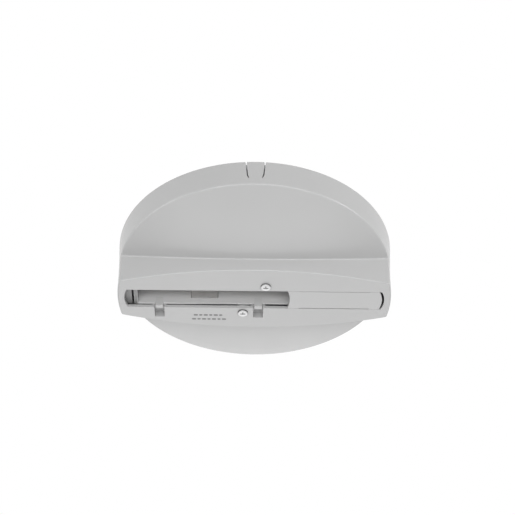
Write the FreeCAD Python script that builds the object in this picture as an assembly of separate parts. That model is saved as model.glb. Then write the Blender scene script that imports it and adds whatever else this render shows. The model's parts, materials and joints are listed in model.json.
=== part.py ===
import FreeCAD, Part
import math
import os

# Ceiling access point: a round canopy with a raised bar that holds a short channel for a
# plug-in luminaire adapter, and a blanking slide that closes the rest of the bar's opening.
#
# Frame, mm: z = 0 is the ceiling, the body hangs below it to negative z, the bar runs along X.
# "Depth" below means distance under the ceiling, so z = -depth.

V = FreeCAD.Vector

# ---- canopy shell ----
BASE_R = 97.0            # rim radius where it meets the ceiling
RIM_R = 96.1             # rim radius at the lower edge of its wall
FACE_R = 96.0            # radius that the bar's ends follow at the face
RIM_DEPTH = 19.3         # depth of the rim wall's lower edge
DOME_RISE = 14.4         # how far the shallow dome bulges below that edge
FACE_DEPTH = 42.0        # depth of the bar's flat face
BAR_HALF = 32.4          # half width of the bar's face at its middle
BAR_ARC_R = 336.0        # plan radius of the bar's long sides
BAR_DRAFT = 0.038        # sideways draft of the bar's sides per mm of depth
BAR_ROOT = 1.5           # the bar is rooted this far above the rim wall's lower edge
WALL = 2.2               # shell thickness
CORNER_FILLET = 2.0      # upright corners of the bar
FACE_FILLET = 1.1        # edge between the bar's sides and its face
RIM_FILLET = 1.3         # edge between rim wall and dome
CREASE_FILLET = 1.1      # inside edge between dome and bar
CAVITY_TOP = 2.0         # how far cutting tools run past the ceiling plane

# ---- opening in the bar's face ----
SLOT_HALF_X = 91.3       # half length at the middle of the curved ends
SLOT_HALF_Y = 9.7        # half width
END_BULGE = 2.0          # sagitta of the curved ends
HOOK_X = (-67.0, 2.8)    # centres of the two hook notches on the +Y edge
NOTCH_HALF_X = 3.5
NOTCH_Y = 20.6           # how far the notches reach from the centre line
POCKET_DEPTH = 5.0       # depth of the pocket behind each hook
POCKET_WALL = 1.5        # skirt round the pocket under the face
SKIRT_GAP = 0.02         # between the skirt and the pocket floor
COVER_SCREWS = ((8.0, -14.8), (-8.0, 14.8))

# ---- side cable entry: a U-shaped break-out in the rim wall ----
SLIT = 0.7               # width of the slits
SLIT_TOP_X = 6.4         # half spacing of the slits at the ceiling
SLIT_LOW_X = 5.6         # half spacing where they begin to turn in
SLIT_LOW_DEPTH = 10.0
SLIT_END_X = 4.2
SLIT_END_DEPTH = 13.8

# ---- adapter channel carrier ----
CHANNEL_HALF = 7.5       # half width of the adapter channel
LIP_HALF = 9.2           # half width of the carrier's lip inside the opening
LIP_DEPTH = 39.5         # the lip stops this deep, just inside the cover's face
LIP_ROOT_DEPTH = 37.5    # below this the lip's outside narrows towards the slide
LIP_MID = 8.7            # half width between the catches, from LIP_MID_X on
LIP_MID_X = (-50.0, -28.0)
LIP_NARROW = 8.3         # half width past the second catch
SHOULDER_DEPTH = 35.5    # where the carrier widens to its full body
BODY_HALF = 12.5         # half width of the carrier's body
ROOF_DEPTH = 16.0        # underside of the channel's roof
CARRIER_TOP = 14.0       # depth of the carrier's upper face
CHANNEL_X0 = -82.0       # open end, closed by the end cap
CHANNEL_X1 = 86.0        # blind end of the channel
CARRIER_X1 = 88.0
CAP_X0 = -84.8
CAP_STEP = 1.4           # the cap's rim is this much lower than its inner edge
CAP_EDGE = 0.8
LEDGE_X = (-92.4, -86.4) # ledge past the cap, seen in the end of the opening
LEDGE_DEPTH = (30.0, 36.8)
LEDGE_HALF = 12.4
CAP_RIM_HALF = 11.2
LEDGE_ROOT = 3.0
HOOK_HALF_X = 2.65       # catches: a hook at the opening's edge on a pad under the pocket
HOOK_Y = 10.8            # outer face of the hooks
PAD_HALF_X = 4.6
PAD_Y = 21.2
PAD_THICK = 4.0
PAD_Y0 = 8.7
HOOK_ROOT_DEPTH = 34.5
WINDOW = (-44.8, -25.5)  # contact windows in both channel walls
WINDOW_DEPTH = (27.0, 35.0)
BOSS_R = 4.2
BOSS_TOP = 24.0
INSERT_R = 2.8           # outside of the brass inserts in the bosses
BOSS_GAP = 0.1           # between the bosses and the cover's inside
EAR_X = 62.0             # carrier ears, four, on the pillars
EAR_Y = 18.5
EAR_R = 5.0
EAR_THICK = 3.0
SCREW_R = 2.0            # M4 throughout the structure
HOLE_R = 2.25            # clearance hole for M4
GUIDE_DEPTH = (33.4, 35.6)
GUIDE_Y = 8.7
GUIDE_X0 = 27.0

# ---- conductors: (side of the channel, depth of the strip, start of the upright tail) ----
STRIP_Y = (8.1, 9.1)
STRIP_HALF = 1.5
STRIP_X0 = -80.0
TAIL_LENGTH = 3.0
TAIL_TOP = 8.8
LINE_1 = (1, 25.0, 43.0)
LINE_2 = (1, 19.0, 37.0)
LINE_3 = (-1, 25.0, 43.0)
NEUTRAL = (-1, 19.0, 31.0)
GROOVE_PLAY = 0.1
BRIDGE_DEPTH = (9.8, 10.6)
BRIDGE_Y = 10.4
EARTH_SHEET = 0.8
EARTH_X = (-44.6, -25.7)
EARTH_TONGUE_Y = 8.6     # the sheet steps in to here behind the windows
EARTH_TONGUE_DEPTH = (27.2, 34.5)
EARTH_TAB = (-38.6, -30.6)
EARTH_FOOT_Y = 23.0
EARTH_SCREW = (-34.6, -18.6)

# ---- blanking slide ----
SLIDE_X0 = 25.0          # middle of the hollow end
SLIDE_HOLLOW = 1.5
SLIDE_X1 = 89.7          # middle of the rounded end
SLIDE_HALF = 9.5
SLIDE_RELIEF = (0.3, 0.6)  # the -Y and +Y sides are cut back between the guiding pads
RELIEF_X = (31.5, 81.0)
SLIDE_LEG_Y = (6.0, 7.3)
SLIDE_LEG_X = (31.5, 84.0)
CLAW_Y = 8.3
CLAW_X = ((45.0, 53.0), (75.0, 83.0))
CLAW_DEPTH = (33.7, 35.3)
RIB_X = (37.0, 58.0, 79.0)

# ---- ceiling plate and what stands on it ----
PLATE_R = 94.0
PLATE_THICK = 1.5
PLATE_RIM = 4.0
CABLE_HOLE_R = 12.0
GROMMET_R = 9.0          # the supply cable's way in
GROMMET_LIP = 2.4
FIXING_X = 50.0          # ceiling fixing slots at (+-FIXING_X, +-FIXING_Y)
FIXING_Y = 40.0
FIXING_R = 2.6
FIXING_LENGTH = 14.0
BEAD_Y = 62.0            # pressed stiffening beads, one each side
BEAD_LENGTH = 90.0
BEAD_R = 4.0
BEAD_PRESS = 0.6
SPIGOT_R = 2.4
RUN_PLAY = 0.02
PILLAR_FLATS = 7.0
POLE_PITCH = 11.0
BLOCK_Y = (-53.0, -37.0)
BLOCK_HALF_X = 17.0
BLOCK_DEPTH = 14.5
POLE_DEPTH = 8.0
CLAMP_TUBE_R = 3.4
CLAMP_Y = (-51.0, -39.0)
CLAMP_BORE_R = 1.7
TERMINAL_SCREW_Y = (-48.5, -41.5)
GRUB_R = 1.25
SMALL_SCREW_R = 1.5      # M3 for the terminal block and the cable saddle
SADDLE_Y = -76.0
SADDLE_SCREW_X = 9.5
SADDLE_DEPTH = 9.5
WIRE_R = 1.1
WIRE_PLAY = 0.75         # round the wires where they pass the connection cover

# ---- connection cover over the live tails ----
COVER_X = (27.5, 52.0)
COVER_Y = 12.0
COVER_TOP = 4.5
COVER_WALL = 1.2

# ---- hand-laid wire routes from the terminal block to the contacts, ends included ----
LINE_ROUTE = ((11.0, -38.9, -8.0), (14.0, -31.0, -8.0), (25.0, -28.0, -8.6), (37.0, -27.0, -9.4),
              (44.5, -21.0, -10.2), (44.5, -10.5, -10.2))
NEUTRAL_ROUTE = ((0.0, -38.9, -8.0), (1.5, -31.0, -8.0), (10.0, -24.0, -8.6),
                 (22.0, -22.5, -9.4), (31.0, -18.5, -10.2), (32.5, -9.35, -10.2))
EARTH_ROUTE = ((-11.0, -38.9, -8.0), (-13.0, -31.0, -8.0), (-20.0, -26.5, -8.0),
               (-28.5, -26.0, -8.0), (-33.8, -20.5, -8.0), (-34.6, -13.5, -8.0))


# ------------------------------------------------------------------ small helpers

def box(x0, x1, y0, y1, z0, z1):
    return Part.makeBox(x1 - x0, y1 - y0, z1 - z0, V(x0, y0, z0))


def rod(x, y, z0, z1, r):
    return Part.makeCylinder(r, z1 - z0, V(x, y, z0))


def rod_y(x, y0, y1, z, r):
    return Part.makeCylinder(r, y1 - y0, V(x, y0, z), V(0, 1, 0))


def line(a, b):
    return Part.LineSegment(a, b).toShape()


def arc(a, mid, b):
    return Part.Arc(a, mid, b).toShape()


def fuse(shapes):
    whole = shapes[0].multiFuse(shapes[1:]) if len(shapes) > 1 else shapes[0]
    return whole.removeSplitter()


def cut(shape, tools):
    return shape.cut(Part.makeCompound(tools)).removeSplitter()


def prism(edges, z0, z1):
    """A solid over a closed outline drawn at height z0."""
    return Part.Face(Part.Wire(edges)).extrude(V(0, 0, z1 - z0))


def strip(x0, x1, half, bulge0, bulge1, z0, z1):
    """A bar along X whose ends are arcs; x0 and x1 are the arcs' middles, and a positive
    bulge makes that end round, a negative one hollow."""
    xa, xb = x0 + bulge0, x1 - bulge1
    a, b = V(xa, -half, z0), V(xb, -half, z0)
    c, d = V(xb, half, z0), V(xa, half, z0)
    return prism([line(a, b), arc(b, V(x1, 0, z0), c), line(c, d), arc(d, V(x0, 0, z0), a)],
                 z0, z1)


def slot_x(x, y, length, r, z0, z1):
    """A round-ended slot along X, given end to end."""
    reach = length / 2 - r
    return fuse([box(x - reach, x + reach, y - r, y + r, z0, z1),
                 rod(x - reach, y, z0, z1, r), rod(x + reach, y, z0, z1, r)])


def revolve(edges):
    return Part.Face(Part.Wire(edges)).revolve(V(0, 0, 0), V(0, 0, 1), 360)


def fillet_where(shape, radius, test):
    """Rounds the edges whose midpoint and ends pass the test."""
    chosen = []
    for edge in shape.Edges:
        first, last = edge.ParameterRange
        middle = edge.valueAt((first + last) / 2)
        if test(edge.valueAt(first), middle, edge.valueAt(last)):
            chosen.append(edge)
    return shape.makeFillet(radius, chosen)


def pan_head(x, y, z, r, height):
    """A pan head below z, with rounded lower edge and a cross recess."""
    head = rod(x, y, z - height, z, r)
    head = head.makeFillet(height * 0.55, [e for e in head.Edges
                                           if abs(e.CenterOfMass.z - z + height) < 1e-6
                                           and e.Closed])
    arm, blade, depth = r * 0.5, r * 0.13, height * 0.6
    cross = [box(x - arm, x + arm, y - blade, y + blade, z - height - 1, z - height + depth),
             box(x - blade, x + blade, y - arm, y + arm, z - height - 1, z - height + depth)]
    return cut(head, cross)


def pan_screw(x, y, z, r, length, head_r, head_height):
    """A screw whose head hangs below z and whose shank goes up from it."""
    return fuse([pan_head(x, y, z, head_r, head_height), rod(x, y, z, z + length, r)])


def hexagon(x, y, flats, z0, z1):
    radius = flats / math.sqrt(3)
    corners = [V(x + radius * math.cos(math.radians(60 * i)),
                 y + radius * math.sin(math.radians(60 * i)), z0) for i in range(6)]
    return prism([line(corners[i], corners[(i + 1) % 6]) for i in range(6)], z0, z1)


# ------------------------------------------------------------------ canopy

def dome_form(inset, top):
    """The round body with its shallow dome; an inset gives the space inside its wall."""
    base_r, rim_r, rim_z = BASE_R - inset, RIM_R - inset, inset - RIM_DEPTH
    low_z = rim_z - DOME_RISE
    sphere_r = (rim_r ** 2 + DOME_RISE ** 2) / (2 * DOME_RISE)
    mid_z = low_z + sphere_r - math.sqrt(sphere_r ** 2 - rim_r ** 2 / 4)
    axis_top, rim_top, rim_low = V(0, 0, top), V(base_r, 0, top), V(rim_r, 0, rim_z)
    return revolve([line(axis_top, rim_top), line(rim_top, rim_low),
                    arc(rim_low, V(rim_r / 2, 0, mid_z), V(0, 0, low_z)),
                    line(V(0, 0, low_z), axis_top)])


def bar_form(inset, top):
    """The raised bar: curved sides with draft, ends that follow the round body."""
    face_z = inset - FACE_DEPTH
    height = top - face_z
    bar = Part.makeCone(FACE_R - inset, RIM_R - inset, height, V(0, 0, face_z))
    side_r = BAR_ARC_R - inset
    for side in (-1, 1):
        centre = V(0, side * (BAR_ARC_R - BAR_HALF), face_z)
        bar = bar.common(Part.makeCone(side_r, side_r + BAR_DRAFT * height, height, centre))
    return bar


def rounded_canopy():
    low = -FACE_DEPTH

    def rim_edge(a, m, b):
        return abs(m.z + RIM_DEPTH) < 0.01

    def upright_corner(a, m, b):
        return abs(a.z - b.z) > 10 and abs(m.y) > 5

    def face_edge(a, m, b):
        return max(abs(a.z - low), abs(m.z - low), abs(b.z - low)) < 0.01

    def crease(a, m, b):
        return m.z < -RIM_DEPTH - 3 and abs(m.x) < 50 and abs(a.x - b.x) > 60 and m.z > low + 2

    dome = fillet_where(dome_form(0, 0), RIM_FILLET, rim_edge)
    bar = fillet_where(bar_form(0, BAR_ROOT - RIM_DEPTH), CORNER_FILLET, upright_corner)
    bar = fillet_where(bar, FACE_FILLET, face_edge)
    return fillet_where(fuse([dome, bar]), CREASE_FILLET, crease)


def break_out_slit(side):
    """One of the two slits of the U-shaped break-out, as a cutting tool through the rim."""
    h, y0, depth = SLIT / 2, -BASE_R - 1, 8.0

    def p(x, z):
        return V(side * x, y0, z)

    bend_x, bend_z = (SLIT_LOW_X + SLIT_END_X) / 2 + 0.35, -(SLIT_LOW_DEPTH + SLIT_END_DEPTH) / 2
    outline = [line(p(SLIT_TOP_X - 2 * h, 1), p(SLIT_TOP_X + 2 * h, 1)),
               line(p(SLIT_TOP_X + 2 * h, 1), p(SLIT_TOP_X + h, -1)),
               line(p(SLIT_TOP_X + h, -1), p(SLIT_LOW_X + h, -SLIT_LOW_DEPTH)),
               arc(p(SLIT_LOW_X + h, -SLIT_LOW_DEPTH), p(bend_x + h, bend_z - h / 2),
                   p(SLIT_END_X + h, -SLIT_END_DEPTH - h / 2)),
               line(p(SLIT_END_X + h, -SLIT_END_DEPTH - h / 2), p(SLIT_END_X, -SLIT_END_DEPTH + h)),
               arc(p(SLIT_END_X, -SLIT_END_DEPTH + h), p(bend_x - h, bend_z + h / 2),
                   p(SLIT_LOW_X - h, -SLIT_LOW_DEPTH)),
               line(p(SLIT_LOW_X - h, -SLIT_LOW_DEPTH), p(SLIT_TOP_X - h, -1)),
               line(p(SLIT_TOP_X - h, -1), p(SLIT_TOP_X - 2 * h, 1))]
    return Part.Face(Part.Wire(outline)).extrude(V(0, depth, 0))


def canopy_cover():
    shell = cut(rounded_canopy(), [dome_form(WALL, CAVITY_TOP),
                                   bar_form(WALL, BAR_ROOT - RIM_DEPTH)])
    inner_z = WALL - FACE_DEPTH
    skirts = []
    for x in HOOK_X:
        half = NOTCH_HALF_X + POCKET_WALL
        skirts.append(box(x - half, x + half, SLOT_HALF_Y, NOTCH_Y + POCKET_WALL,
                          inner_z - WALL / 2, POCKET_DEPTH - FACE_DEPTH - SKIRT_GAP))
    shell = fuse([shell] + skirts)
    tools = [strip(-SLOT_HALF_X, SLOT_HALF_X, SLOT_HALF_Y, END_BULGE, END_BULGE,
                   -FACE_DEPTH - 1, inner_z + 0.5)]
    for x in HOOK_X:
        tools.append(box(x - NOTCH_HALF_X, x + NOTCH_HALF_X, SLOT_HALF_Y - 1, NOTCH_Y,
                         -FACE_DEPTH - 1, POCKET_DEPTH - FACE_DEPTH))
    for x, y in COVER_SCREWS:
        tools.append(rod(x, y, -FACE_DEPTH - 1, inner_z + 1, HOLE_R))
    tools += [break_out_slit(-1), break_out_slit(1)]
    return cut(shell, tools)


def cover_screws():
    return Part.makeCompound([pan_screw(x, y, -FACE_DEPTH, SCREW_R, 12.0, 3.6, 1.8)
                              for x, y in COVER_SCREWS])


# ------------------------------------------------------------------ channel carrier

def conductor_groove(side, depth, tail_x):
    """The undercut groove for one strip, and the slot for its upright tail."""
    h = STRIP_HALF + GROOVE_PLAY
    y = sorted(side * v for v in (STRIP_Y[0] - GROOVE_PLAY, STRIP_Y[1] + GROOVE_PLAY))
    mouth = sorted(side * v for v in (CHANNEL_HALF - 0.5, STRIP_Y[0]))
    x1 = tail_x + TAIL_LENGTH + GROOVE_PLAY
    return [box(CHANNEL_X0 - 1, x1, y[0], y[1], -depth - h, -depth + h),
            box(CHANNEL_X0 - 1, x1, mouth[0], mouth[1], -depth - h + 0.5, -depth + h - 0.5),
            box(tail_x - GROOVE_PLAY, x1, y[0], y[1], -depth, 1 - CARRIER_TOP)]


def ear(sx, sy):
    x, y = sx * EAR_X, sy * EAR_Y
    y0, y1 = sorted((sy * (BODY_HALF - 1), y))
    z0, z1 = -CARRIER_TOP - EAR_THICK, -CARRIER_TOP
    return [box(x - EAR_R, x + EAR_R, y0, y1, z0, z1), rod(x, y, z0, z1, EAR_R)]


def lip_tip():
    """The lip's lower part, which narrows in two steps towards the blanking slide."""
    catch_x = HOOK_X[1]
    corners = [(CHANNEL_X0, LIP_HALF), (LIP_MID_X[0], LIP_HALF), (LIP_MID_X[1], LIP_MID),
               (catch_x, LIP_MID), (catch_x + NOTCH_HALF_X, LIP_NARROW), (CARRIER_X1, LIP_NARROW)]
    corners += [(x, -y) for x, y in reversed(corners)]
    points = [V(x, y, -LIP_DEPTH) for x, y in corners]
    edges = [line(a, b) for a, b in zip(points, points[1:] + points[:1])]
    return prism(edges, -LIP_DEPTH, -LIP_ROOT_DEPTH)


def catch_form(x, play):
    """A hook on its pad; with play it is the seat for it in the carrier."""
    pad_z = POCKET_DEPTH - FACE_DEPTH
    return fuse([box(x - HOOK_HALF_X - play, x + HOOK_HALF_X + play, CHANNEL_HALF, HOOK_Y,
                     -FACE_DEPTH, play - HOOK_ROOT_DEPTH),
                 box(x - PAD_HALF_X - play, x + PAD_HALF_X + play, PAD_Y0 - play, PAD_Y,
                     pad_z, pad_z + PAD_THICK + play)])


def adapter_catches():
    return Part.makeCompound([catch_form(x, 0) for x in HOOK_X])


def carrier_solids():
    parts = [box(CHANNEL_X0, CARRIER_X1, -BODY_HALF, BODY_HALF, -SHOULDER_DEPTH, -CARRIER_TOP),
             box(CHANNEL_X0, CARRIER_X1, -LIP_HALF, LIP_HALF, -LIP_ROOT_DEPTH, -SHOULDER_DEPTH),
             lip_tip()]
    for x, y in COVER_SCREWS:
        parts.append(rod(x, y, WALL - FACE_DEPTH + BOSS_GAP, -BOSS_TOP, BOSS_R))
    for sx in (-1, 1):
        for sy in (-1, 1):
            parts += ear(sx, sy)
    return parts


def carrier_body():
    face = -FACE_DEPTH
    tools = [box(CHANNEL_X0 - 1, CHANNEL_X1, -CHANNEL_HALF, CHANNEL_HALF, face - 1, -ROOF_DEPTH),
             box(WINDOW[0], WINDOW[1], -BODY_HALF - 1, BODY_HALF + 1,
                 -WINDOW_DEPTH[1], -WINDOW_DEPTH[0]),
             box(GUIDE_X0, CHANNEL_X1, -GUIDE_Y, GUIDE_Y, -GUIDE_DEPTH[1], -GUIDE_DEPTH[0])]
    tools += [catch_form(x, RUN_PLAY) for x in HOOK_X]
    for run in (LINE_1, LINE_2, LINE_3, NEUTRAL):
        tools += conductor_groove(*run)
    for x, y in COVER_SCREWS:
        tools.append(rod(x, y, face, -28.0, INSERT_R + RUN_PLAY))
    for sx in (-1, 1):
        for sy in (-1, 1):
            tools.append(rod(sx * EAR_X, sy * EAR_Y, -20, -10, HOLE_R))
    return cut(fuse(carrier_solids()), tools)


def threaded_inserts():
    z0, z1 = WALL - FACE_DEPTH + 0.4, -29.0
    return Part.makeCompound([cut(rod(x, y, z0, z1, INSERT_R),
                                  [rod(x, y, z0 - 1, z1 + 1, SCREW_R + RUN_PLAY)])
                              for x, y in COVER_SCREWS])


def channel_end_cap():
    """Closes the channel's open end and keeps the strips in; a ledge stands off it."""
    low = -LIP_DEPTH
    edge_x = CHANNEL_X0 - CAP_EDGE
    return fuse([box(CAP_X0, CHANNEL_X0, -CAP_RIM_HALF, CAP_RIM_HALF, low + CAP_STEP,
                     -SHOULDER_DEPTH),
                 box(edge_x, CHANNEL_X0, -LIP_HALF, LIP_HALF, low, -SHOULDER_DEPTH),
                 box(CAP_X0, CHANNEL_X0, -BODY_HALF, BODY_HALF, -SHOULDER_DEPTH, -CARRIER_TOP),
                 box(LEDGE_X[0], LEDGE_X[1], -LEDGE_HALF, LEDGE_HALF,
                     -LEDGE_DEPTH[1], -LEDGE_DEPTH[0]),
                 box(LEDGE_X[0], CAP_X0, -LEDGE_HALF, LEDGE_HALF,
                     -LEDGE_DEPTH[0], LEDGE_ROOT - LEDGE_DEPTH[0])])


# ------------------------------------------------------------------ blanking slide

def blanking_slide():
    face, back = -FACE_DEPTH, WALL - FACE_DEPTH
    parts = [strip(SLIDE_X0, SLIDE_X1, SLIDE_HALF, -SLIDE_HOLLOW, END_BULGE, face, back)]
    for side in (-1, 1):
        y0, y1 = sorted(side * v for v in SLIDE_LEG_Y)
        parts.append(box(SLIDE_LEG_X[0], SLIDE_LEG_X[1], y0, y1, back - 1, -CLAW_DEPTH[0]))
        y0, y1 = sorted(side * v for v in (SLIDE_LEG_Y[0], CLAW_Y))
        for x0, x1 in CLAW_X:
            parts.append(box(x0, x1, y0, y1, -CLAW_DEPTH[1], -CLAW_DEPTH[0]))
    for x in RIB_X:
        parts.append(box(x - 0.7, x + 0.7, -SLIDE_LEG_Y[1], SLIDE_LEG_Y[1], back - 1, back + 3))
    tools = []
    for side in (-1, 1):
        y0, y1 = sorted(side * v for v in (SLIDE_HALF - SLIDE_RELIEF[side > 0], SLIDE_HALF + 1))
        tools.append(box(RELIEF_X[0], RELIEF_X[1], y0, y1, face - 1, back + 1))
    return cut(fuse(parts), tools)


# ------------------------------------------------------------------ conductors

def conductor(side, depth, tail_x):
    y0, y1 = sorted(side * v for v in STRIP_Y)
    x1 = tail_x + TAIL_LENGTH
    return fuse([box(STRIP_X0, x1, y0, y1, -depth - STRIP_HALF, -depth + STRIP_HALF),
                 box(tail_x, x1, y0, y1, -depth, -TAIL_TOP)])


def tail_slot(side, tail_x):
    y0, y1 = sorted(side * v for v in (STRIP_Y[0] - RUN_PLAY, STRIP_Y[1] + RUN_PLAY))
    return box(tail_x - RUN_PLAY, tail_x + TAIL_LENGTH + RUN_PLAY, y0, y1, -20, 0)


def phase_bridge():
    """Joins the tails of the three line strips and keeps clear of the neutral's."""
    z0, z1 = -BRIDGE_DEPTH[1], -BRIDGE_DEPTH[0]
    x0, x1 = LINE_1[2] - 1.2, LINE_1[2] + TAIL_LENGTH + 1.2
    plate = fuse([box(LINE_2[2] - 1.2, x1, STRIP_Y[0] - 1.4, BRIDGE_Y, z0, z1),
                  box(x0, x1, -BRIDGE_Y, BRIDGE_Y, z0, z1)])
    return cut(plate, [tail_slot(run[0], run[2]) for run in (LINE_1, LINE_2, LINE_3)])


def earth_side(side):
    """One leg of the earth contact, with the tongue that fills the window."""
    t, outer = EARTH_SHEET, BODY_HALF + EARTH_SHEET
    top, low = EARTH_TONGUE_DEPTH
    leg = sorted((side * BODY_HALF, side * outer))
    step = sorted((side * EARTH_TONGUE_Y, side * outer))
    tongue = sorted((side * EARTH_TONGUE_Y, side * (EARTH_TONGUE_Y + t)))
    return [box(EARTH_X[0], EARTH_X[1], leg[0], leg[1], -top - t, t - CARRIER_TOP),
            box(EARTH_X[0], EARTH_X[1], step[0], step[1], -top - t, -top),
            box(EARTH_X[0], EARTH_X[1], tongue[0], tongue[1], -low, -top)]


def earth_contact():
    """A bent sheet that straddles the carrier, shows in both windows, and has a foot that is
    screwed to the ceiling plate."""
    t, outer = EARTH_SHEET, BODY_HALF + EARTH_SHEET
    top, plate_z = -CARRIER_TOP, -PLATE_THICK
    parts = earth_side(-1) + earth_side(1)
    parts += [box(EARTH_X[0], EARTH_X[1], -outer, outer, top, top + t),
              box(EARTH_TAB[0], EARTH_TAB[1], -outer, -BODY_HALF, top, plate_z),
              box(EARTH_TAB[0], EARTH_TAB[1], -EARTH_FOOT_Y, -BODY_HALF, plate_z - t, plate_z)]
    x, y = EARTH_SCREW
    return cut(fuse(parts), [rod(x, y, -10, 0, HOLE_R)])


def plate_earth_screw():
    x, y = EARTH_SCREW
    return pan_screw(x, y, -PLATE_THICK - EARTH_SHEET, SCREW_R, EARTH_SHEET + PLATE_THICK,
                     3.6, 2.4)


def connection_cover():
    w, low = COVER_WALL, -CARRIER_TOP
    shell = box(COVER_X[0], COVER_X[1], -COVER_Y, COVER_Y, low, -COVER_TOP)
    tools = [box(COVER_X[0] + w, COVER_X[1] - w, w - COVER_Y, COVER_Y - w,
                 low - 1, -COVER_TOP - w)]
    slot_half = WIRE_R + WIRE_PLAY
    for route in (LINE_ROUTE, NEUTRAL_ROUTE):
        x, z = route[-1][0], route[-1][2]
        tools.append(box(x - slot_half, x + slot_half, -COVER_Y - 1, 1.5 - COVER_Y,
                         low - 1, z + slot_half))
    return cut(shell, tools)


# ------------------------------------------------------------------ wires

def wire(route):
    """A round wire along straight runs joined by tangent arcs as large as the runs allow."""
    points = [V(*p) for p in route]
    edges = []
    start = points[0]
    for before, corner, after in zip(points, points[1:], points[2:]):
        into, out = corner - before, after - corner
        reach = 0.45 * min(into.Length, out.Length)
        half_turn = into.getAngle(out) / 2
        radius = reach / math.tan(half_turn)
        into.normalize()
        out.normalize()
        a, b = corner - into * reach, corner + out * reach
        inward = out - into
        inward.normalize()
        sag = radius / math.cos(half_turn) - radius
        edges += [line(start, a), arc(a, corner + inward * sag, b)]
        start = b
    edges.append(line(start, points[-1]))
    section = Part.Wire([Part.Circle(points[0], points[1] - points[0], WIRE_R).toShape()])
    return Part.Wire(edges).makePipeShell([section], True, False, 2)


# ------------------------------------------------------------------ ceiling plate

def plate_blank():
    """The plate with its rim turned down and its beads pressed down."""
    rim = cut(rod(0, 0, -PLATE_RIM, 0, PLATE_R),
              [rod(0, 0, -PLATE_RIM - 1, 1, PLATE_R - PLATE_THICK)])
    beads = [slot_x(0, y, BEAD_LENGTH, BEAD_R, -PLATE_THICK - BEAD_PRESS, -PLATE_THICK)
             for y in (-BEAD_Y, BEAD_Y)]
    hollows = [slot_x(0, y, BEAD_LENGTH - BEAD_PRESS, BEAD_R - BEAD_PRESS / 2, -BEAD_PRESS, 1)
               for y in (-BEAD_Y, BEAD_Y)]
    return cut(fuse([rod(0, 0, -PLATE_THICK, 0, PLATE_R), rim] + beads), hollows)


def ceiling_plate():
    tools = [rod(0, 0, -5, 1, CABLE_HOLE_R)]
    for sx in (-1, 1):
        for sy in (-1, 1):
            tools.append(slot_x(sx * FIXING_X, sy * FIXING_Y, FIXING_LENGTH, FIXING_R, -5, 1))
            tools.append(rod(sx * EAR_X, sy * EAR_Y, -5, 1, SPIGOT_R))
    for x in (-POLE_PITCH / 2, POLE_PITCH / 2):
        tools.append(rod(x, sum(BLOCK_Y) / 2, -5, 1, SMALL_SCREW_R + RUN_PLAY))
    for x in (-SADDLE_SCREW_X, SADDLE_SCREW_X):
        tools.append(rod(x, SADDLE_Y, -5, 1, SMALL_SCREW_R + RUN_PLAY))
    tools.append(rod(EARTH_SCREW[0], EARTH_SCREW[1], -5, 1, SCREW_R + RUN_PLAY))
    return cut(plate_blank(), tools)


def carrier_pillars():
    pillars = []
    for sx in (-1, 1):
        for sy in (-1, 1):
            x, y = sx * EAR_X, sy * EAR_Y
            post = fuse([hexagon(x, y, PILLAR_FLATS, -CARRIER_TOP, -PLATE_THICK),
                         rod(x, y, -PLATE_THICK - 1, 0, SPIGOT_R - RUN_PLAY)])
            pillars.append(cut(post, [rod(x, y, -CARRIER_TOP - 1, -4.0, SCREW_R + RUN_PLAY)]))
    return Part.makeCompound(pillars)


def carrier_screws():
    z = -CARRIER_TOP - EAR_THICK
    return Part.makeCompound([pan_screw(sx * EAR_X, sy * EAR_Y, z, SCREW_R, 10.0, 3.6, 2.4)
                              for sx in (-1, 1) for sy in (-1, 1)])


def cable_grommet():
    ring = fuse([rod(0, 0, -PLATE_THICK, 0, CABLE_HOLE_R - RUN_PLAY),
                 rod(0, 0, -PLATE_THICK - GROMMET_LIP, -PLATE_THICK, CABLE_HOLE_R + 2.0)])
    return cut(ring, [rod(0, 0, -10, 1, GROMMET_R)])


def poles():
    return (-POLE_PITCH, 0.0, POLE_PITCH)


def terminal_block():
    y0, y1 = BLOCK_Y
    block = box(-BLOCK_HALF_X, BLOCK_HALF_X, y0, y1, -BLOCK_DEPTH, -PLATE_THICK)
    tools = []
    for x in poles():
        tools.append(rod_y(x, y0 - 1, y1 + 1, -POLE_DEPTH, CLAMP_TUBE_R + RUN_PLAY))
        for y in TERMINAL_SCREW_Y:
            tools.append(rod(x, y, -BLOCK_DEPTH - 1, -POLE_DEPTH, 2.2))
    for x in (-POLE_PITCH / 2, POLE_PITCH / 2):
        tools.append(rod(x, sum(BLOCK_Y) / 2, -BLOCK_DEPTH - 1, 0, SMALL_SCREW_R + 0.1))
    return cut(block, tools)


def terminal_clamps():
    tubes = []
    for x in poles():
        tube = rod_y(x, CLAMP_Y[0], CLAMP_Y[1], -POLE_DEPTH, CLAMP_TUBE_R)
        holes = [rod_y(x, CLAMP_Y[0] - 1, CLAMP_Y[1] + 1, -POLE_DEPTH, CLAMP_BORE_R)]
        holes += [rod(x, y, -20, -POLE_DEPTH, GRUB_R + RUN_PLAY) for y in TERMINAL_SCREW_Y]
        tubes.append(cut(tube, holes))
    return Part.makeCompound(tubes)


def terminal_screws():
    """Slotted grub screws, backed out of the clamps' bores."""
    screws = []
    for x in poles():
        for y in TERMINAL_SCREW_Y:
            low, top = -BLOCK_DEPTH + 0.8, -POLE_DEPTH - CLAMP_BORE_R - 0.1
            grub = fuse([rod(x, y, low, top, GRUB_R),
                         rod(x, y, low, -POLE_DEPTH - CLAMP_TUBE_R - 0.6, 1.9)])
            screws.append(cut(grub, [box(x - 2, x + 2, y - 0.3, y + 0.3, low - 1, low + 0.9)]))
    return Part.makeCompound(screws)


def small_screw(x, y, z, length):
    return pan_screw(x, y, z, SMALL_SCREW_R, length, 2.7, 1.9)


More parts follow.
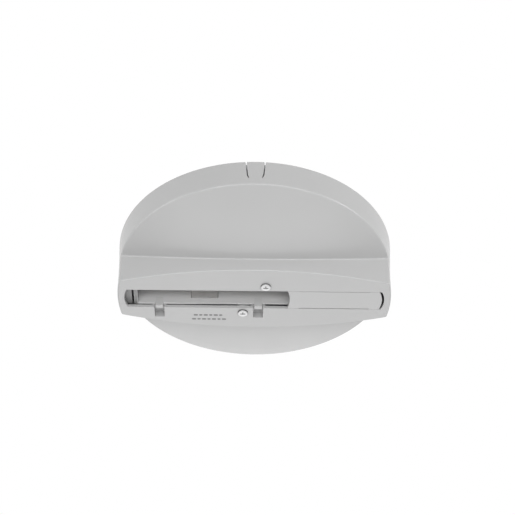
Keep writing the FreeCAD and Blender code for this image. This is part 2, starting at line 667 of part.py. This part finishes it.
def terminal_block_screws():
    y = sum(BLOCK_Y) / 2
    return Part.makeCompound([small_screw(x, y, -BLOCK_DEPTH, BLOCK_DEPTH)
                              for x in (-POLE_PITCH / 2, POLE_PITCH / 2)])


def cable_saddle():
    """The strain relief that clamps a supply cable onto the ceiling plate."""
    y0, y1 = SADDLE_Y - 4.0, SADDLE_Y + 4.0
    wings = box(-13.0, 13.0, y0, y1, -PLATE_THICK - 3.0, -PLATE_THICK)
    arch = rod_y(0, y0, y1, -PLATE_THICK - 2.5, 5.5).common(box(-6, 6, y0, y1, -20, -PLATE_THICK))
    tools = [rod_y(0, y0 - 1, y1 + 1, -PLATE_THICK - 2.5, 3.5),
             box(-3.5, 3.5, y0 - 1, y1 + 1, -PLATE_THICK - 2.5, 0)]
    for x in (-SADDLE_SCREW_X, SADDLE_SCREW_X):
        tools.append(rod(x, SADDLE_Y, -20, 0, SMALL_SCREW_R + 0.1))
    return cut(fuse([wings, arch]), tools)


def cable_saddle_screws():
    z = -PLATE_THICK - 3.0
    return Part.makeCompound([small_screw(x, SADDLE_Y, z, 4.5)
                              for x in (-SADDLE_SCREW_X, SADDLE_SCREW_X)])


# ------------------------------------------------------------------ export

NODES = {
    "canopy_cover": canopy_cover,
    "cover_screws": cover_screws,
    "carrier_body": carrier_body,
    "adapter_catches": adapter_catches,
    "threaded_inserts": threaded_inserts,
    "channel_end_cap": channel_end_cap,
    "blanking_slide": blanking_slide,
    "conductor_line_1": lambda: conductor(*LINE_1),
    "conductor_line_2": lambda: conductor(*LINE_2),
    "conductor_line_3": lambda: conductor(*LINE_3),
    "conductor_neutral": lambda: conductor(*NEUTRAL),
    "phase_bridge": phase_bridge,
    "earth_contact": earth_contact,
    "plate_earth_screw": plate_earth_screw,
    "connection_cover": connection_cover,
    "wire_line": lambda: wire(LINE_ROUTE),
    "wire_neutral": lambda: wire(NEUTRAL_ROUTE),
    "wire_earth": lambda: wire(EARTH_ROUTE),
    "ceiling_plate": ceiling_plate,
    "carrier_pillars": carrier_pillars,
    "carrier_screws": carrier_screws,
    "cable_grommet": cable_grommet,
    "terminal_block": terminal_block,
    "terminal_clamps": terminal_clamps,
    "terminal_screws": terminal_screws,
    "terminal_block_screws": terminal_block_screws,
    "cable_saddle": cable_saddle,
    "cable_saddle_screws": cable_saddle_screws,
}

os.makedirs("parts", exist_ok=True)
for name, make in NODES.items():
    shape = make()
    shape.exportStep("parts/" + name + ".step")
    print(name, "solids", len(shape.Solids), "volume", round(shape.Volume, 1),
          "valid", shape.isValid())
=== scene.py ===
"""Looks of the ceiling access point: materials, fine pieces, camera and soft studio light."""
import json
import math

import bmesh
import bpy
from mathutils import Matrix, Vector


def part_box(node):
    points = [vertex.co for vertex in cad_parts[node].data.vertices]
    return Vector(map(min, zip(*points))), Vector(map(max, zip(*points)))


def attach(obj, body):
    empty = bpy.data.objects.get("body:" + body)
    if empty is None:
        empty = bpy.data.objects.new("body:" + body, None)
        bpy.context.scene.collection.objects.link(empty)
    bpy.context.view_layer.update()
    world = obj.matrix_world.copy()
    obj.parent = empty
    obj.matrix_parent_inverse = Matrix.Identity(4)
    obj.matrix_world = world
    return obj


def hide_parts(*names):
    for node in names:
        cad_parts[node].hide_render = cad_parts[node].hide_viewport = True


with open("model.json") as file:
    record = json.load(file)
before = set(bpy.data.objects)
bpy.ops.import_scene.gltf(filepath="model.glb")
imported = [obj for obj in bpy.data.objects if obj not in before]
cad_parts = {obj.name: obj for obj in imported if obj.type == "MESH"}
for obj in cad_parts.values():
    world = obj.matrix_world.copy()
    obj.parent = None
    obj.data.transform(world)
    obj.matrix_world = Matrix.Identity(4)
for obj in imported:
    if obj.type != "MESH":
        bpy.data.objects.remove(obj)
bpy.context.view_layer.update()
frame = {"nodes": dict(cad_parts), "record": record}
MM = 0.001

# ------------------------------------------------------------------ small helpers


def grey(level):
    """Linear grey of an 8-bit display level."""
    c = level / 255
    return c / 12.92 if c <= 0.04045 else ((c + 0.055) / 1.055) ** 2.4


class Nodes:
    """A short way to write a material's node tree."""

    def __init__(self, name):
        self.material = bpy.data.materials.new(name)
        self.material.use_nodes = True
        self.tree = self.material.node_tree
        self.shader = self.tree.nodes["Principled BSDF"]
        self.place = self.add("ShaderNodeTexCoord").outputs["Object"]

    def add(self, kind, inputs=None, **settings):
        node = self.tree.nodes.new(kind)
        for key, value in settings.items():
            setattr(node, key, value)
        for key, value in (inputs or {}).items():
            self.feed(node.inputs[key], value)
        return node

    def feed(self, socket, value):
        if isinstance(value, bpy.types.NodeSocket):
            self.tree.links.new(value, socket)
        else:
            socket.default_value = value

    def noise(self, scale, detail=2.0, roughness=0.5, stretch=(1, 1, 1)):
        spot = self.add("ShaderNodeMapping", {"Vector": self.place, "Scale": stretch})
        texture = self.add("ShaderNodeTexNoise", {"Vector": spot.outputs[0], "Scale": scale,
                                                  "Detail": detail, "Roughness": roughness})
        return texture.outputs["Fac"]

    def spread(self, value, low, high, start=0.3, end=0.7):
        """The value from start to end, stretched to low and high."""
        node = self.add("ShaderNodeMapRange", {"Value": value, "From Min": start,
                                               "From Max": end, "To Min": low, "To Max": high})
        return node.outputs["Result"]

    def mix_colour(self, factor, a, b):
        node = self.add("ShaderNodeMix", data_type="RGBA")
        self.feed(node.inputs["Factor"], factor)
        self.feed(node.inputs["A"], a)
        self.feed(node.inputs["B"], b)
        return node.outputs["Result"]

    def bump(self, height, distance, strength=1.0, normal=None):
        node = self.add("ShaderNodeBump", {"Height": height, "Distance": distance,
                                           "Strength": strength})
        if normal:
            self.feed(node.inputs["Normal"], normal)
        return node.outputs["Normal"]

    def finish(self, **sockets):
        for key, value in sockets.items():
            self.feed(self.shader.inputs[key.replace("_", " ")], value)
        return self.material


def rgba(r, g, b):
    return (r, g, b, 1.0)


def moulded_plastic(name, level, tint=(1, 1, 1), roughness=0.45, gloss=0.0):
    """Injection-moulded plastic: faint flow shading, fine spark-eroded grain, a few rubs, and
    the thin glossy skin of a polished mould where it has one."""
    n = Nodes(name)
    base = [grey(level) * t for t in tint]
    flow = n.spread(n.noise(9.0, 3.0), 0.0, 1.0)
    colour = n.mix_colour(flow, rgba(*[c * 0.985 for c in base]), rgba(*[c * 1.015 for c in base]))
    fine = n.noise(4200.0, 2.0, 0.6)
    mid = n.noise(900.0, 2.0, 0.5)
    rubs = n.spread(n.noise(60.0, 5.0, 0.62, (1, 0.25, 1)), 0.0, 0.05, 0.45, 0.75)
    rough = n.add("ShaderNodeMath", {0: n.spread(mid, roughness - 0.03, roughness + 0.03),
                                     1: rubs}, operation="ADD")
    normal = n.bump(fine, 0.000016, 0.6)
    normal = n.bump(mid, 0.00002, 0.5, normal)
    return n.finish(Base_Color=colour, Roughness=rough.outputs[0], Normal=normal,
                    Specular_IOR_Level=0.42, Coat_Weight=gloss, Coat_Roughness=0.16)


def plated_metal(name, colour, roughness=0.3, brushed=(1, 1, 1), tarnish=0.25, metallic=1.0):
    """Plated or rolled metal: faint brushing and cloudy tarnish, less metallic where it is dull."""
    n = Nodes(name)
    cloud = n.spread(n.noise(160.0, 4.0, 0.6), 0.0, tarnish)
    tone = n.mix_colour(cloud, rgba(*colour), rgba(*[c * 0.55 for c in colour]))
    lines = n.noise(1500.0, 3.0, 0.6, brushed)
    rough = n.spread(lines, roughness - 0.07, roughness + 0.1)
    return n.finish(Base_Color=tone, Metallic=metallic, Roughness=rough,
                    Normal=n.bump(lines, 0.00001, 0.5))


def galvanised(name):
    """Zinc-coated sheet with its spangle."""
    n = Nodes(name)
    cells = n.add("ShaderNodeTexVoronoi", {"Vector": n.place, "Scale": 400.0})
    tone = n.mix_colour(n.spread(cells.outputs["Color"], 0.0, 1.0, 0.0, 1.0),
                        rgba(0.46, 0.48, 0.49), rgba(0.59, 0.61, 0.62))
    rough = n.spread(cells.outputs["Distance"], 0.34, 0.5, 0.0, 0.6)
    return n.finish(Base_Color=tone, Metallic=0.9, Roughness=rough,
                    Normal=n.bump(n.noise(700.0), 0.00002, 0.4))


def rubber(name):
    n = Nodes(name)
    dust = n.spread(n.noise(500.0, 4.0), 0.0, 1.0, 0.5, 0.8)
    tone = n.mix_colour(dust, rgba(0.018, 0.018, 0.018), rgba(0.05, 0.05, 0.05))
    return n.finish(Base_Color=tone, Roughness=n.spread(dust, 0.55, 0.75, 0, 1),
                    Normal=n.bump(n.noise(2200.0), 0.00003, 0.5))


def insulation(name, colour, stripe=None):
    """PVC wire insulation, striped round the wire where it has a second colour."""
    n = Nodes(name)
    tone = rgba(*colour)
    if stripe:
        wave = n.add("ShaderNodeTexWave", {"Vector": n.place, "Scale": 130.0},
                     bands_direction="DIAGONAL")
        tone = n.mix_colour(n.spread(wave.outputs["Fac"], 0.0, 1.0, 0.48, 0.52), tone,
                            rgba(*stripe))
    return n.finish(Base_Color=tone, Roughness=n.spread(n.noise(800.0), 0.35, 0.48),
                    Normal=n.bump(n.noise(1800.0), 0.00002, 0.4))


# ------------------------------------------------------------------ materials per slot

SLOT_MATERIALS = {
    "canopy_plastic": moulded_plastic("canopy_plastic", 164, gloss=0.45),
    "carrier_plastic": moulded_plastic("carrier_plastic", 176, roughness=0.46),
    "slide_plastic": moulded_plastic("slide_plastic", 165, gloss=0.45),
    "insulating_plastic": moulded_plastic("insulating_plastic", 226, (1.0, 0.99, 0.95), 0.36),
    "black_rubber": rubber("black_rubber"),
    "screw_steel": plated_metal("screw_steel", (0.55, 0.55, 0.55), 0.44),
    "plate_steel": galvanised("plate_steel"),
    "contact_brass": plated_metal("contact_brass", (0.75, 0.55, 0.28), 0.28, (0.05, 1, 1)),
    "contact_nickel": plated_metal("contact_nickel", (0.84, 0.84, 0.84), 0.5, (1, 1, 0.05),
                                   metallic=0.87),
    "line_insulation": insulation("line_insulation", (0.12, 0.045, 0.02)),
    "neutral_insulation": insulation("neutral_insulation", (0.02, 0.09, 0.42)),
    "earth_insulation": insulation("earth_insulation", (0.05, 0.32, 0.06), (0.75, 0.68, 0.03)),
}


def dress(piece, material):
    piece.data.materials.clear()
    piece.data.materials.append(material)


# mouldings in the carrier's plastic that get a darker grey: on the end cap it is painted shade for
# its deep ledge, and the catches are a little darker than the carrier
DARKENED_MOULDINGS = {"channel_end_cap": moulded_plastic("cap_plastic_painted_shade", 138),
             "adapter_catches": moulded_plastic("catch_plastic", 170, roughness=0.46)}

for row in frame["record"]["subparts"]:
    shade = DARKENED_MOULDINGS.get(row["node"], SLOT_MATERIALS[row["material_slot"]])
    dress(frame["nodes"][row["node"]], shade)

# ------------------------------------------------------------------ mesh helpers

SHARP_EDGE = math.radians(32)


def new_piece(name, mesh, slot, *materials):
    """A shown piece on the housing, shaded smooth but for its real edges."""
    piece = bpy.data.objects.new(name, mesh)
    bpy.context.scene.collection.objects.link(piece)
    for material in materials:
        mesh.materials.append(material)
    for face in mesh.polygons:
        face.use_smooth = True
    mesh.set_sharp_from_angle(angle=SHARP_EDGE)
    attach(piece, "housing")
    return piece


def lathe(bm, x, y, profile, steps):
    """A closed turned form about an upright axis; the profile is (radius, height) pairs from
    axis to axis."""
    rings = []
    for radius, z in profile:
        count = 1 if radius == 0 else steps
        turn = [2 * math.pi * i / steps for i in range(count)]
        rings.append([bm.verts.new((x + radius * math.cos(a), y + radius * math.sin(a), z))
                      for a in turn])
    for low, high in zip(rings, rings[1:]):
        for i in range(steps):
            j = (i + 1) % steps
            corners = [low[i % len(low)], low[j % len(low)], high[j % len(high)],
                       high[i % len(high)]]
            bm.faces.new(list(dict.fromkeys(corners)))


def loft(bm, rings):
    """A closed form through rings of equal point counts, capped at both ends."""
    loops = [[bm.verts.new(p) for p in ring] for ring in rings]
    for low, high in zip(loops, loops[1:]):
        for i in range(len(low)):
            j = (i + 1) % len(low)
            bm.faces.new((low[i], low[j], high[j], high[i]))
    bm.faces.new(list(reversed(loops[0])))
    bm.faces.new(loops[-1])


def mesh_of(bm, name):
    bmesh.ops.recalc_face_normals(bm, faces=bm.faces)
    mesh = bpy.data.meshes.new(name)
    bm.to_mesh(mesh)
    bm.free()
    return mesh


def carved(mesh, tool_mesh):
    """The first mesh with the second cut out of it."""
    body = bpy.data.objects.new("body", mesh)
    tool = bpy.data.objects.new("tool", tool_mesh)
    for thing in (body, tool):
        bpy.context.scene.collection.objects.link(thing)
    cut = body.modifiers.new("cut", "BOOLEAN")
    cut.operation, cut.solver, cut.object = "DIFFERENCE", "EXACT", tool
    graph = bpy.context.evaluated_depsgraph_get()
    result = bpy.data.meshes.new_from_object(body.evaluated_get(graph))
    bpy.data.objects.remove(body)
    bpy.data.objects.remove(tool)
    return result


# ------------------------------------------------------------------ cover screws

FACE_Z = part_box("canopy_cover")[0][2]
HEAD_R = 3.6 * MM
SHANK_R = 2.0 * MM
ROOT_R = 1.6 * MM          # at the bottom of the thread
PITCH = 0.7 * MM
THREAD = ((0.4, ROOT_R), (0.55, ROOT_R), (0.95, SHANK_R), (1, SHANK_R))   # share of pitch, radius
LEAD = 2 * PITCH           # plain shank under the head
TIP = 0.5 * MM             # the thread ends this far short of the tip
HEAD_SIDE = 0.62           # the rest of the head's height is its rounded edge
HEAD_SINK = 0.3 * MM       # the crown is this much flatter than the CAD head's
CROWN = ((0.35, 0.015), (0.62, 0.06))     # share of radius, share of height it falls back
CROWN_EDGE = 0.12          # how far it has fallen back where the rounded edge begins
EDGE_STEPS = 6
CROSS_MOUTH = (0.6, 0.13)  # reach and half width of the recess's arms, in head radii
CROSS_FLOOR = (0.42, 0.11)
CROSS_TAPER = 0.8          # an arm's width at its end
CROSS_DEPTH = 0.36         # share of the head's height
LIT_CROWN_DEPTH = 0.3         # the lit copy of the screw steel reaches down to here and its faces look down at least this much; all other faces get a dark copy, painted shade
LIT_CROWN_SLOPE = -0.55       # and its faces look down at least this much
HEAD_STEPS = 64


def head_profile(low_z):
    """The pan head from its crown to its seat: low dome, rounded edge, upright side."""
    height = FACE_Z - low_z
    edge = height * (1 - HEAD_SIDE)
    points = [(0.0, low_z)]
    points += [(HEAD_R * out, low_z + height * drop) for out, drop in CROWN]
    for i in range(EDGE_STEPS + 1):
        a = math.radians(90 * i / EDGE_STEPS)
        points.append((HEAD_R - edge * (1 - math.sin(a)),
                       low_z + height * CROWN_EDGE + edge * (1 - math.cos(a))))
    return points + [(HEAD_R, FACE_Z)]


def thread_profile(top_z):
    """From the seat in to the shank, its thread and its tip."""
    z = FACE_Z + LEAD
    points = [(SHANK_R, FACE_Z), (SHANK_R, z)]
    while z + PITCH < top_z - TIP:
        points += [(radius, z + share * PITCH) for share, radius in THREAD]
        z += PITCH
    return points + [(ROOT_R, top_z), (0.0, top_z)]


def cross_ring(x, y, z, shape):
    """The outline of a cross recess at one depth."""
    arm, blade = (HEAD_R * share for share in shape)
    ring = []
    for quarter in range(4):
        turn = Matrix.Rotation(quarter * math.pi / 2, 2)
        for p in ((blade, -blade), (arm, -blade * CROSS_TAPER), (arm, blade * CROSS_TAPER)):
            px, py = turn @ Vector(p)
            ring.append((x + px, y + py, z))
    return ring


def cover_screw_mesh(x, y, low_z, top_z):
    bm = bmesh.new()
    lathe(bm, x, y, head_profile(low_z) + thread_profile(top_z), HEAD_STEPS)
    tool = bmesh.new()
    depth = (FACE_Z - low_z) * CROSS_DEPTH
    loft(tool, [cross_ring(x, y, low_z - 0.2 * MM, CROSS_MOUTH),
                cross_ring(x, y, low_z + depth, CROSS_FLOOR)])
    return carved(mesh_of(bm, "screw"), mesh_of(tool, "recess"))


def cover_screws():
    low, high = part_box("cover_screws")
    places = ((high[0] - HEAD_R, low[1] + HEAD_R), (low[0] + HEAD_R, high[1] - HEAD_R))
    whole = bmesh.new()
    for x, y in places:
        mesh = cover_screw_mesh(x, y, low[2] + HEAD_SINK, high[2])
        whole.from_mesh(mesh)
        bpy.data.meshes.remove(mesh)
    # faces that look down on the crown keep the screw steel; the rest of the head, its sides and
    # the cross recess get a dark copy of the steel, painted shade
    lit_crown_z = low[2] + HEAD_SINK + (FACE_Z - low[2]) * LIT_CROWN_DEPTH
    for face in whole.faces:
        lit_face = face.normal.z < LIT_CROWN_SLOPE and face.calc_center_median().z < lit_crown_z
        face.material_index = 0 if lit_face else 1
    mesh = bpy.data.meshes.new("cover_screws")
    whole.to_mesh(mesh)
    whole.free()
    # the second material is that dark copy of the steel: painted shade on the head's sides and in
    # its recess
    piece = new_piece("cover_screws_fine", mesh, "screw_steel", SLOT_MATERIALS["screw_steel"],
                      plated_metal("screw_side_painted_shade", (0.20, 0.20, 0.20), 0.5))
    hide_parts("cover_screws")


# ------------------------------------------------------------------ plain marking on the face

MARK_ROWS = ((-0.0430, 0.0182, 6), (-0.0443, 0.0228, 7))   # first bar's x, row's y, bars
BAR_LENGTHS = (3.2, 2.4)   # long and short bars take turns; these three are in millimetres
BAR_GAP = 0.75
BAR_HALF = 0.9
INK_DEPTH = 0.03 * MM
ARC_STEP = 30              # degrees between the points of a bar's round end


def bar_ring(x, y, length, z):
    """A round-ended bar's outline, in metres."""
    ring = []
    for centre, start in ((x + length - BAR_HALF * MM, -90), (x + BAR_HALF * MM, 90)):
        for i in range(180 // ARC_STEP + 1):
            a = math.radians(start + ARC_STEP * i)
            ring.append((centre + BAR_HALF * MM * math.cos(a), y + BAR_HALF * MM * math.sin(a), z))
    return ring


def face_marks():
    """Two rows of plain bars, where a fitting of this kind carries its rating."""
    bm = bmesh.new()
    for start, y, count in MARK_ROWS:
        x = start
        for i in range(count):
            length = BAR_LENGTHS[i % len(BAR_LENGTHS)] * MM
            loft(bm, [bar_ring(x, y, length, FACE_Z - INK_DEPTH),
                      bar_ring(x, y, length, FACE_Z)])
            x += length + BAR_GAP * MM
    new_piece("face_marks", mesh_of(bm, "face_marks"), "canopy_plastic",
              moulded_plastic("marked_plastic", 112, roughness=0.6))


cover_screws()
face_marks()

# ------------------------------------------------------------------ camera, light and floor

VIEW_ELEVATION = math.radians(39.66)   # the camera looks up at the ceiling from this far below
VIEW_DISTANCE = 1.2328
VIEW_ROLL = math.radians(0.63)
LENS = 120.0
SENSOR = 36.0
SHIFT = (0.0054, -0.0075)
CLIP = (0.01, 50.0)
FLOOR_HALF = 14.0
FLOOR_Z = -1.6

# name, place, width and height, power: every softbox faces the middle of the fitting
SOFTBOXES = (("left_softbox", (-1.5, -0.6, 0.1), (0.8, 0.8), 7.8),
             ("right_softbox", (1.5, -0.6, 0.1), (0.8, 0.8), 11.2),
             ("near_strip", (0.0, -1.25, -0.95), (2.4, 0.6), 11.0),
             ("front_strip", (0.0, -2.4, -1.35), (3.6, 0.8), 30.0),
             ("far_softbox", (0.0, 1.5, -0.5), (1.0, 1.0), 3.6),
             ("low_softbox", (0.0, 1.0, -1.3), (1.2, 1.2), 4.6))
ROOM_LEVEL = 0.53                         # the room in front, next to the white backdrop's 1
BACKDROP_EDGE = (-0.2, 0.5)               # where the backdrop begins and is full, towards +Y


def studio_camera():
    data = bpy.data.cameras.new("camera")
    data.lens = LENS
    data.sensor_width = SENSOR
    data.shift_x, data.shift_y = SHIFT
    data.clip_start, data.clip_end = CLIP
    camera = bpy.data.objects.new("camera", data)
    back = Vector((0, -math.cos(VIEW_ELEVATION), -math.sin(VIEW_ELEVATION)))
    camera.location = back * VIEW_DISTANCE
    turn = (-back).to_track_quat("-Z", "Y").to_matrix().to_4x4()
    camera.matrix_world = Matrix.Translation(camera.location) @ turn @ Matrix.Rotation(
        VIEW_ROLL, 4, "Z")
    bpy.context.scene.collection.objects.link(camera)
    bpy.context.scene.camera = camera


def area_light(name, place, size, power):
    data = bpy.data.lights.new(name, "AREA")
    data.shape = "RECTANGLE"
    data.size, data.size_y = size
    data.energy = power
    lamp = bpy.data.objects.new(name, data)
    lamp.location = place
    lamp.rotation_mode = "QUATERNION"
    lamp.rotation_quaternion = (-Vector(place)).to_track_quat("-Z", "Y")
    bpy.context.scene.collection.objects.link(lamp)


def pale_floor():
    mesh = bpy.data.meshes.new("floor")
    corners = [(x * FLOOR_HALF, y * FLOOR_HALF, FLOOR_Z)
               for x, y in ((-1, -1), (1, -1), (1, 1), (-1, 1))]
    mesh.from_pydata(corners, [], [(0, 1, 2, 3)])
    floor = bpy.data.objects.new("floor", mesh)
    bpy.context.scene.collection.objects.link(floor)
    n = Nodes("floor")
    n.finish(Base_Color=n.mix_colour(n.noise(3.0), rgba(0.80, 0.80, 0.80),
                                     rgba(0.84, 0.84, 0.84)), Roughness=0.8)
    dress(floor, n.material)


def studio_room():
    """A white backdrop behind the fitting that fades into a softer room on the near side."""
    world = bpy.data.worlds.new("studio_room")
    world.use_nodes = True
    tree = world.node_tree
    direction = tree.nodes.new("ShaderNodeTexCoord").outputs["Generated"]
    split = tree.nodes.new("ShaderNodeSeparateXYZ")
    fade = tree.nodes.new("ShaderNodeMapRange")
    fade.interpolation_type = "SMOOTHSTEP"
    for key, value in zip(("From Min", "From Max", "To Min", "To Max"),
                          (*BACKDROP_EDGE, ROOM_LEVEL, 1.0)):
        fade.inputs[key].default_value = value
    background = tree.nodes["Background"]
    background.inputs["Color"].default_value = rgba(1, 1, 1)
    tree.links.new(direction, split.inputs[0])
    tree.links.new(split.outputs["Y"], fade.inputs["Value"])
    tree.links.new(fade.outputs["Result"], background.inputs["Strength"])
    bpy.context.scene.world = world
    bpy.context.scene.view_settings.view_transform = "Standard"


studio_camera()
studio_room()
pale_floor()
for lamp in SOFTBOXES:
    area_light(*lamp)
